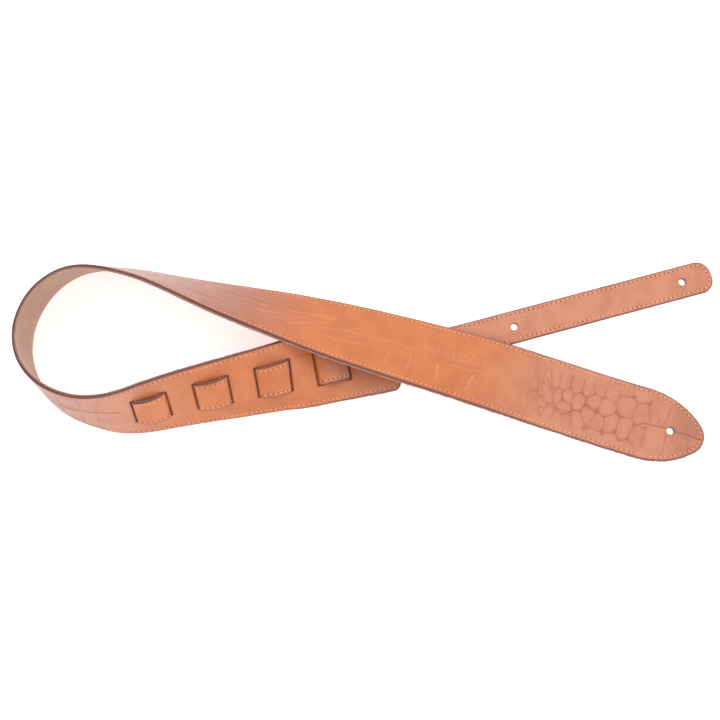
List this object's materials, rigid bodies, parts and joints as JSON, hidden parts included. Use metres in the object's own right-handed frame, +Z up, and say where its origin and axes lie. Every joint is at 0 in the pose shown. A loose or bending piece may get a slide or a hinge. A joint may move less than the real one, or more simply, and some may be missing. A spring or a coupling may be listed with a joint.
{
  "type": "guitar strap",
  "caption": "Lined leather guitar strap with a pointed front end, woven length-adjusting tail and button holes, laid in one closed loop.",
  "frame": {"origin": "centre of the overall box, on the surface the strap lies on", "axes": "+X along the strap's long way, towards the two free ends; +Z up, out of the surface it lies on; +Y from the front end's side towards the tail's side"},
  "size_m": [0.6178, 0.1834, 0.0641],
  "materials": {
    "embossed_leather": "satin, crocodile embossed",
    "smooth_leather": "satin, smooth",
    "suede_lining": "matte suede",
    "thread": "waxed thread"
  },
  "bodies": {
    "main_strap": {"main_face": "embossed_leather", "main_lining": "suede_lining", "main_needle_thread": "thread", "main_bobbin_thread": "thread"},
    "tail_strap": {"tail_face": "smooth_leather", "tail_lining": "suede_lining", "tail_needle_thread": "thread", "tail_bobbin_thread": "thread"}
  },
  "joints": [
    {"name": "tail_slide", "type": "slide", "parent": "main_strap", "child": "tail_strap", "axis": [0.9641, 0.2656, 0], "range_m": [0, 0.0535], "deforming": ["tail_face", "tail_lining", "tail_needle_thread", "tail_bobbin_thread"]}
  ]
}
